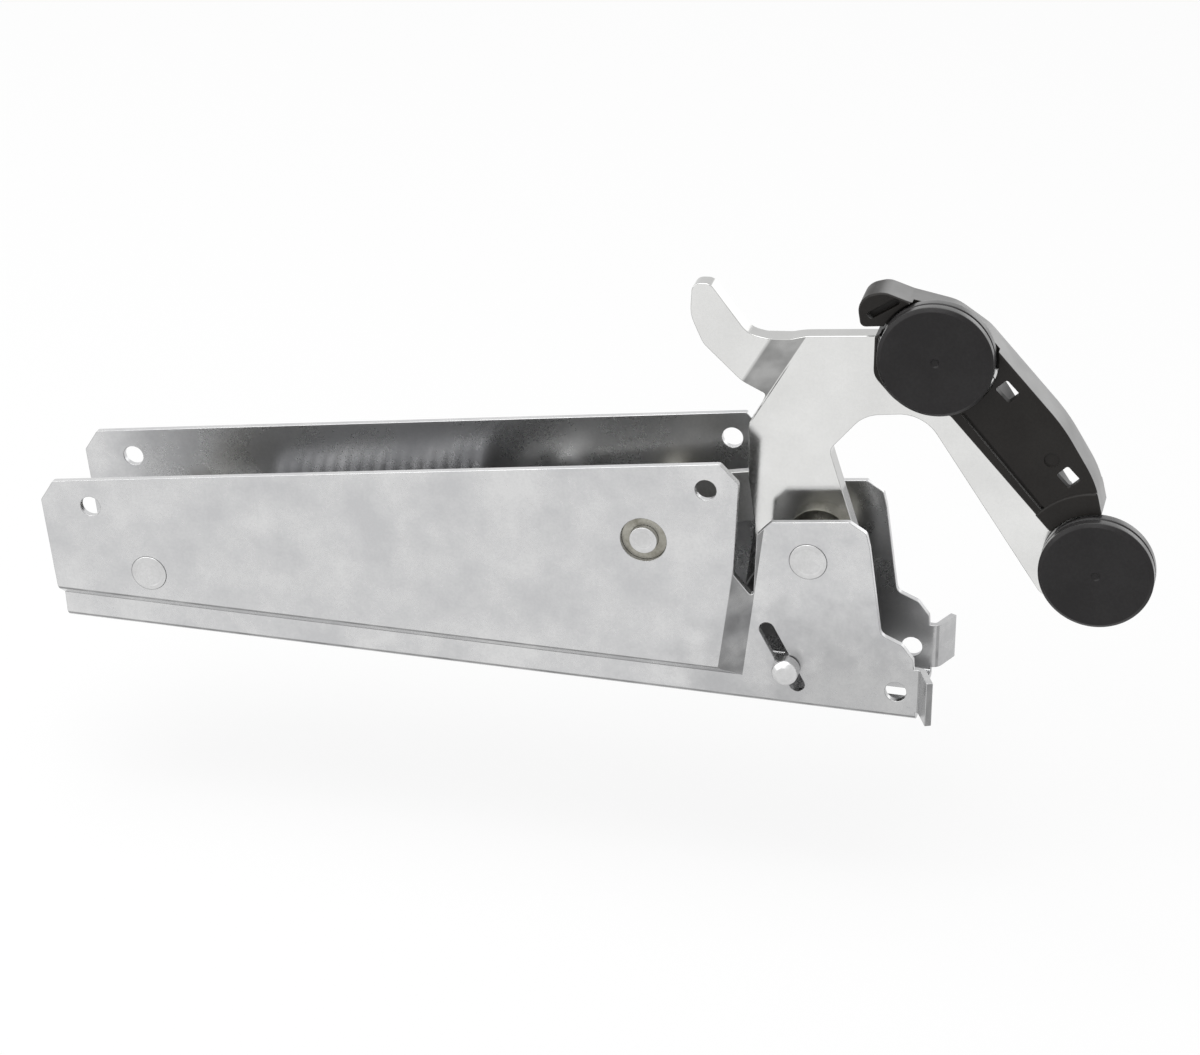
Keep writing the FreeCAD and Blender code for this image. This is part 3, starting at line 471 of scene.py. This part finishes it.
def closed_piece(name, rings, first_pole, last_pole):
    """Mesh object from a grid of points, rings[i, k], closed round k and closed at its two ends by poles.

    The faces are turned over where the volume inside them comes out negative."""
    rows, around = rings.shape[:2]
    points = np.concatenate([rings.reshape(-1, 3), [first_pole, last_pole]])
    index = np.arange(rows * around).reshape(rows, around)
    ahead = np.roll(index, -1, axis=1)
    quads = np.stack([index[:-1], index[1:], ahead[1:], ahead[:-1]], axis=-1).reshape(-1, 4)
    first = np.stack([np.full(around, rows * around), index[0], ahead[0]], axis=-1)
    last = np.stack([index[-1], np.full(around, rows * around + 1), ahead[-1]], axis=-1)
    caps = np.concatenate([first, last])
    corners = points[np.concatenate([quads[:, [0, 1, 2]], quads[:, [0, 2, 3]], caps])]
    volume = np.einsum("ij,ij->i", corners[:, 0], np.cross(corners[:, 1], corners[:, 2])).sum()
    turn = 1 if volume > 0 else -1
    mesh = bpy.data.meshes.new(name)
    mesh.from_pydata(points.tolist(), [], quads[:, ::turn].tolist() + caps[:, ::turn].tolist())
    mesh.shade_smooth()
    mesh.set_sharp_from_angle(angle=math.radians(NEW_SHARP))
    return new_object(name, mesh)


def rounded_profile(corners, steps=5):
    """Points along (r, y, round) corners, each rounded by a parabola tangent to both its runs."""
    t = np.linspace(0, 1, steps + 1)[:, None]
    parts = []
    for i, (r, y, radius) in enumerate(corners):
        here = np.array((r, y))
        if radius <= 0 or i in (0, len(corners) - 1):
            parts.append(here[None])
            continue
        back = np.array(corners[i - 1][:2]) - here
        ahead = np.array(corners[i + 1][:2]) - here
        back /= np.linalg.norm(back)
        ahead /= np.linalg.norm(ahead)
        half = math.acos(max(-1.0, min(1.0, float(back @ ahead)))) / 2
        reach = radius / math.tan(half)
        parts.append(parabola(t, here + back * reach, here, here + ahead * reach))
    return np.concatenate(parts)


def turned(name, corners, centre, around):
    """Surface of revolution: (r, y) goes to (cx + r cos t, y, cz + r sin t), with t over a full turn."""
    profile = rounded_profile(corners)
    r, y = profile[1:-1, :1], profile[1:-1, 1:]
    t = np.arange(around) * 2 * math.pi / around
    x = centre[0] + r * np.cos(t)
    z = centre[1] + r * np.sin(t)
    rings = np.stack([x, np.broadcast_to(y, x.shape), z], axis=-1)
    poles = [(centre[0], profile[i, 1], centre[1]) for i in (0, -1)]
    return closed_piece(name, rings, *poles)


def swept_wire(name, path, outward, radius, around=16):
    """Round wire: path + R (cos t side + sin t up), where side is outward made square to the path.

    Both ends are domed: the last rings shrink as a quarter circle while they run on."""
    ahead = np.gradient(path, axis=0)
    ahead /= np.linalg.norm(ahead, axis=1, keepdims=True)
    side = outward - ahead * (outward * ahead).sum(axis=1, keepdims=True)
    side /= np.linalg.norm(side, axis=1, keepdims=True)
    up = np.cross(ahead, side)
    lift = np.radians([75.0, 50.0, 25.0])
    rows = np.concatenate([np.zeros(3, int), np.arange(len(path)), np.full(3, len(path) - 1)])
    run = np.concatenate([-np.sin(lift), np.zeros(len(path)), np.sin(lift[::-1])]) * radius * WIRE_DOME
    share = np.concatenate([np.cos(lift), np.ones(len(path)), np.cos(lift[::-1])]) * radius
    t = np.arange(around) * 2 * math.pi / around
    spoke = side[rows][:, None] * np.cos(t)[:, None] + up[rows][:, None] * np.sin(t)[:, None]
    axis = path[rows] + ahead[rows] * run[:, None]
    rings = axis[:, None] + spoke * share[:, None, None]
    poles = (path[0] - ahead[0] * radius * WIRE_DOME, path[-1] + ahead[-1] * radius * WIRE_DOME)
    return closed_piece(name, rings, *poles)


def merged_copy(node, name):
    """The node's own shape with its loose points merged."""
    source = nodes[node].data
    points = np.zeros(len(source.vertices) * 3, np.float32)
    source.vertices.foreach_get("co", points)
    mesh = bpy.data.meshes.new(name)
    mesh.from_pydata(points.reshape(-1, 3).tolist(), [], [tuple(face.vertices) for face in source.polygons])
    mend_mesh(mesh, lambda work: bmesh.ops.remove_doubles(work, verts=work.verts, dist=SAME_PLACE))
    return new_object(name, mesh)


def ease_edges(piece, bevel):
    """Joins flat triangles and rounds the sharp edges over a width given in millimetres."""
    piece.data.shade_smooth()
    piece.data.set_sharp_from_angle(angle=math.radians(COPY_SHARP))
    flats = piece.modifiers.new("joined_flats", "DECIMATE")
    flats.decimate_type = "DISSOLVE"
    flats.angle_limit = math.radians(FLAT_WITHIN)
    flats.delimit = {"SHARP"}
    ease = piece.modifiers.new("eased_edges", "BEVEL")
    ease.width = bevel * MM
    ease.segments = 2
    ease.limit_method = "ANGLE"
    ease.angle_limit = math.radians(EASED_FROM)
    ease.use_clamp_overlap = False
    ease.harden_normals = True


def dress(piece, slot, node):
    """Gives a piece its material and hides the CAD node that it stands for."""
    piece.data.materials.clear()
    piece.data.materials.append(MATERIALS[slot])
    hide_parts(node)


def place_piece(piece, slot, node):
    """Dresses a piece that stands for one node and lets it ride on that node's body."""
    dress(piece, slot, node)
    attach(piece, body_of_node[node])


def box_facts(node):
    """A round piece's centre (x, z), its radius and its two Y ends, read from its box."""
    low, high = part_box(node)
    centre = ((low.x + high.x) / 2, (low.z + high.z) / 2)
    return centre, (high.x - low.x) / 2, low.y, high.y


# Folded, stamped and plain turned pieces: node, name, material and width of the eased edges

COPIES = (
    ("channel", "folded_channel", "zinc_sheet", 0.16),
    ("arm_plate", "hinge_arm", "arm_zinc", 0.2),
    ("anchor_plate", "spring_anchor", "plate_steel", 0.16),
    ("spring_tongue", "tie_tongue", "plate_steel", 0.16),
    ("rear_link", "tie_link", "plate_steel", 0.16),
    ("front_guide", "tie_guide", "plate_steel", 0.16),
    ("link_rivets", "tie_rivets", "rivet_steel", 0.12),
    ("front_pivot_spacer", "pivot_spacer_front", "turned_steel", 0.12),
    ("rear_pivot_spacer", "pivot_spacer_rear", "turned_steel", 0.12),
    ("front_anchor_spacer", "anchor_spacer_front", "turned_steel", 0.12),
    ("rear_anchor_spacer", "anchor_spacer_rear", "turned_steel", 0.12),
    ("front_stop_sleeve", "stop_ring_front", "turned_steel", 0.12),
    ("rear_stop_sleeve", "stop_ring_rear", "turned_steel", 0.12),
    ("crank_pin", "tie_crank_pin", "turned_steel", 0.12),
    ("upper_stud", "upper_roller_stud", "turned_steel", 0.1),
    ("lower_stud", "lower_roller_stud", "turned_steel", 0.1),
    ("lock_collar", "lock_pin_collar", "rivet_steel", 0.12),
)
for node, name, slot, bevel in COPIES:
    copy = merged_copy(node, name)
    ease_edges(copy, bevel)
    place_piece(copy, slot, node)


# Shoe: its rear is cored out beside the strap, so its two windows let light through

def strap_place(corners):
    """Row-frame (x, z) of places given along and across the strap, in millimetres."""
    along, across = np.asarray(corners, float).T * MM
    lean = math.radians(STRAP_ANGLE)
    x = STRAP_CORNER[0] + along * math.cos(lean) - across * math.sin(lean)
    z = STRAP_CORNER[1] + along * math.sin(lean) + across * math.cos(lean)
    return np.stack([x, z], axis=-1)


def prism(name, outline, y_low, y_high):
    """Outline in X and Z carried from one Y to another, closed by a flat face at each end."""
    count = len(outline)
    ends = [np.stack([outline[:, 0], np.full(count, y), outline[:, 1]], axis=-1) for y in (y_low, y_high)]
    index = np.arange(count)
    ahead = np.roll(index, -1)
    walls = np.stack([index, ahead, ahead + count, index + count], axis=-1)
    faces = walls.tolist() + [index[::-1].tolist(), (index + count).tolist()]
    mesh = bpy.data.meshes.new(name)
    mesh.from_pydata(np.concatenate(ends).tolist(), [], faces)
    mend_mesh(mesh, lambda work: bmesh.ops.recalc_face_normals(work, faces=work.faces))
    return new_object(name, mesh)


def carve(piece, cutter):
    """Takes the cutter's space out of the piece's own mesh, and removes the cutter."""
    tool = piece.modifiers.new("carve", "BOOLEAN")
    tool.operation = "DIFFERENCE"
    tool.solver = "EXACT"
    tool.object = cutter
    bpy.context.view_layer.update()
    shaped = piece.evaluated_get(bpy.context.evaluated_depsgraph_get())
    mesh = bpy.data.meshes.new_from_object(shaped)
    piece.modifiers.remove(tool)
    piece.data = mesh
    bpy.data.objects.remove(cutter)


shoe = merged_copy("glide_shoe", "moulded_shoe")
for corners in CORES:
    carve(shoe, prism("core", strap_place(corners), CORE_FROM, CORE_TO))
ease_edges(shoe, SHOE_EASE)
place_piece(shoe, "black_plastic", "glide_shoe")


# Spring

def tie_place(s, y, n):
    """Row-frame points of (s, y, n): s runs along the tie's line from the stop pin, and n is square to it."""
    lean = math.radians(TIE_ANGLE)
    x = TIE_START[0] + s * math.cos(lean) - n * math.sin(lean)
    z = TIE_START[1] + s * math.sin(lean) + n * math.cos(lean)
    return np.stack([x, y, z], axis=-1)


def coil_line(t):
    """Coil: s grows by one pitch a turn while (y, n) = -R (cos t, sin t); and the way out from its axis."""
    pitch = (COIL_TO - COIL_FROM) / COIL_TURNS
    out = np.stack([0 * t, -np.cos(t), -np.sin(t)])
    return out * COIL_R + np.stack([COIL_FROM + pitch * t / (2 * math.pi), 0 * t, 0 * t]), out


def loop_line(centre, t):
    """End loop, flat in s and y: the centre + R (cos t, sin t); and the way out from its centre."""
    out = np.stack([np.cos(t), np.sin(t), 0 * t])
    return out * COIL_R + np.stack([centre + 0 * t, 0 * t, 0 * t]), out


def corner_line(before, middle, after):
    """Bend between two runs: a parabola from one to the other, drawn towards the point between them."""
    t = np.linspace(0, 1, 9)[1:-1]
    (start, start_out), (end, end_out) = [run[:, -1:] for run in before], [run[:, :1] for run in after]
    return parabola(t, start, middle, end), (1 - t) * start_out + t * end_out


def spring_line():
    """Loop, bend, coil, bend and loop, as one path with its outward direction."""
    bend = math.radians(HOOK_BEND)
    reach = math.radians(HOOK_ANGLE)
    last = COIL_TURNS * 2 * math.pi
    down, up = 1.5 * math.pi, 0.5 * math.pi
    left = loop_line(COIL_FROM, np.linspace(down - reach, down - bend, LOOP_STEPS))
    coil = coil_line(np.linspace(bend, last - bend, int(COIL_TURNS * TURN_STEPS)))
    right = loop_line(COIL_TO, np.linspace(up - bend, up - reach, LOOP_STEPS))
    left_corner = corner_line(left, coil_line(np.zeros(1))[0], coil)
    right_corner = corner_line(coil, coil_line(np.full(1, last))[0], right)
    runs = [left, left_corner, coil, right_corner, right]
    path = np.concatenate([run[0] for run in runs], axis=1)
    outward = np.concatenate([run[1] for run in runs], axis=1)
    return tie_place(*path), tie_place(*outward) - tie_place(0.0, 0.0, 0.0)


spring = swept_wire("coil_spring", *spring_line(), WIRE_R)
dress(spring, "spring_wire", "tension_spring")
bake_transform(spring)


# Turned and moulded round pieces, each from corners of (r, y, round)

def roller(node, name):
    """Roller with a pip mark in its closed face, a grooved rim and a blind bore."""
    centre, radius, face, back = box_facts(node)
    middle = (face + back) / 2
    bottom = face + ROLLER_SKIN
    corners = [
        (0.0, face + PIP_DEPTH, 0), (PIP_FLOOR_R, face + PIP_DEPTH, 0.1 * MM), (PIP_R, face, 0.1 * MM),
        (radius * FACE_SHARE, face, 0.4 * MM), (radius, face + ROLLER_EDGE, 0.35 * MM),
        (radius, middle - RIM_GROOVE, 0.1 * MM), (radius - RIM_GROOVE, middle, 0.1 * MM),
        (radius, middle + RIM_GROOVE, 0.1 * MM), (radius, back, ROLLER_EDGE),
        (ROLLER_BORE, back, 0.2 * MM), (ROLLER_BORE, bottom, 0), (0.0, bottom, 0),
    ]
    place_piece(turned(name, corners, centre, 128), "roller_plastic", node)


def set_rivet(node, name, ring, sink):
    """Straight rivet or pin whose two ends carry a shallow ring from the setting tool.

    Ring is the mark's share of the radius and sink is its depth."""
    centre, radius, low, high = box_facts(node)
    corners = []
    for end, inward in ((low, 1), (high, -1)):
        part = [
            (0.0, end + inward * sink * 0.4, 0), (ring * radius * 0.86, end + inward * sink * 0.4, sink),
            (ring * radius, end + inward * sink, sink * 0.6), (ring * radius * 1.1, end, sink * 0.6),
            (radius, end, 0.2 * MM),
        ]
        corners += part[::inward]
    place_piece(turned(name, corners, centre, 72), "rivet_steel", node)


def headed_pin(node, name):
    """Lock pin: domed head at the front, plain shank behind."""
    centre, radius, low, high = box_facts(node)
    corners = [
        (0.0, low, 0), (radius * 0.55, low + 0.1 * MM, 1.0 * MM), (radius, low + LOCK_DOME, 1.0 * MM),
        (radius, LOCK_HEAD_Y, 0.25 * MM), (LOCK_SHANK_R, LOCK_HEAD_Y, 0.05 * MM),
        (LOCK_SHANK_R, high, 0.25 * MM), (0.0, high, 0),
    ]
    place_piece(turned(name, corners, centre, 64), "rivet_steel", node)


roller("upper_roller", "upper_roller_wheel")
roller("lower_roller", "lower_roller_wheel")
set_rivet("pivot_rivet", "arm_pivot_rivet", 0.72, 0.12 * MM)
set_rivet("anchor_rivet", "spring_anchor_rivet", 0.72, 0.12 * MM)
set_rivet("stop_pin", "tie_stop_pin", 0.6, 0.08 * MM)
headed_pin("lock_pin", "lock_pin_turned")


# Floor, light and camera

def grey(tone):
    return tone, tone, tone, 1


def shown_rays(tree):
    """1 for the rays that show a surface straight, in gloss or through glass, and 0 for those that light."""
    path = add_node(tree, "ShaderNodeLightPath")
    shown = arithmetic(tree, "MAXIMUM", path.outputs["Is Camera Ray"], path.outputs["Is Transmission Ray"])
    return arithmetic(tree, "MAXIMUM", shown, path.outputs["Is Glossy Ray"])


def mix_surface(tree, share, first, second, end_kind):
    """Mixes two shaders by a share of the second and sends them to the tree's output."""
    both = add_node(tree, "ShaderNodeMixShader", {0: share, 1: first.outputs[0], 2: second.outputs[0]})
    add_node(tree, end_kind, {"Surface": both.outputs[0]})


def floor():
    """Pale floor below the open arm's reach: white to camera and gloss, apart from the shadow it keeps."""
    half, level = FLOOR_HALF, FLOOR_LEVEL
    corners = [(-half, -half, level), (half, -half, level), (half, half, level), (-half, half, level)]
    mesh = bpy.data.meshes.new("pale_floor")
    mesh.from_pydata(corners, [], [(0, 1, 2, 3)])
    made = bpy.data.materials.new("pale_floor")
    made.use_nodes = True
    tree = made.node_tree
    tree.nodes.clear()
    matt = add_node(tree, "ShaderNodeBsdfDiffuse", {"Color": grey(FLOOR_TONE)})
    glow = add_node(tree, "ShaderNodeEmission", {"Color": grey(1), "Strength": 1.0})
    share = product(tree, shown_rays(tree), FLOOR_SHOWN_WHITE)
    mix_surface(tree, share, matt, glow, "ShaderNodeOutputMaterial")
    mesh.materials.append(made)
    new_object("pale_floor", mesh)


def world():
    """White behind the object and in its gloss, soft grey as a light."""
    made = bpy.data.worlds.new("studio")
    made.use_nodes = True
    bpy.context.scene.world = made
    tree = made.node_tree
    tree.nodes.clear()
    light = add_node(tree, "ShaderNodeBackground", {"Color": grey(SURROUND_TONE), "Strength": 1.0})
    white = add_node(tree, "ShaderNodeBackground", {"Color": grey(1), "Strength": 1.0})
    mix_surface(tree, shown_rays(tree), light, white, "ShaderNodeOutputWorld")


def softbox(name, place, width, height, power):
    """Soft rectangular lamp that faces the hinge."""
    data = bpy.data.lights.new(name, "AREA")
    data.shape = "RECTANGLE"
    data.size = width
    data.size_y = height
    data.energy = power
    lamp = new_object(name, data)
    lamp.location = place
    lamp.rotation_mode = "QUATERNION"
    lamp.rotation_quaternion = (Vector(CAMERA_TARGET) - Vector(place)).to_track_quat("-Z", "Y")


def camera():
    """Camera at its azimuth, elevation and distance from the target."""
    azimuth = math.radians(CAMERA_AZIMUTH)
    elevation = math.radians(CAMERA_ELEVATION)
    level = math.cos(elevation)
    back = Vector((math.sin(azimuth) * level, -math.cos(azimuth) * level, math.sin(elevation)))
    data = bpy.data.cameras.new("studio_camera")
    data.lens = CAMERA_LENS
    data.sensor_width = SENSOR_WIDTH
    data.sensor_fit = "HORIZONTAL"
    data.clip_start = 0.01
    data.clip_end = 50.0
    eye = new_object("studio_camera", data)
    eye.location = Vector(CAMERA_TARGET) + back * CAMERA_DISTANCE
    eye.rotation_mode = "QUATERNION"
    eye.rotation_quaternion = (-back).to_track_quat("-Z", "Y")
    bpy.context.scene.camera = eye


floor()
world()
for lamp in LAMPS:
    softbox(*lamp)
camera()
bpy.context.scene.view_settings.view_transform = "Standard"
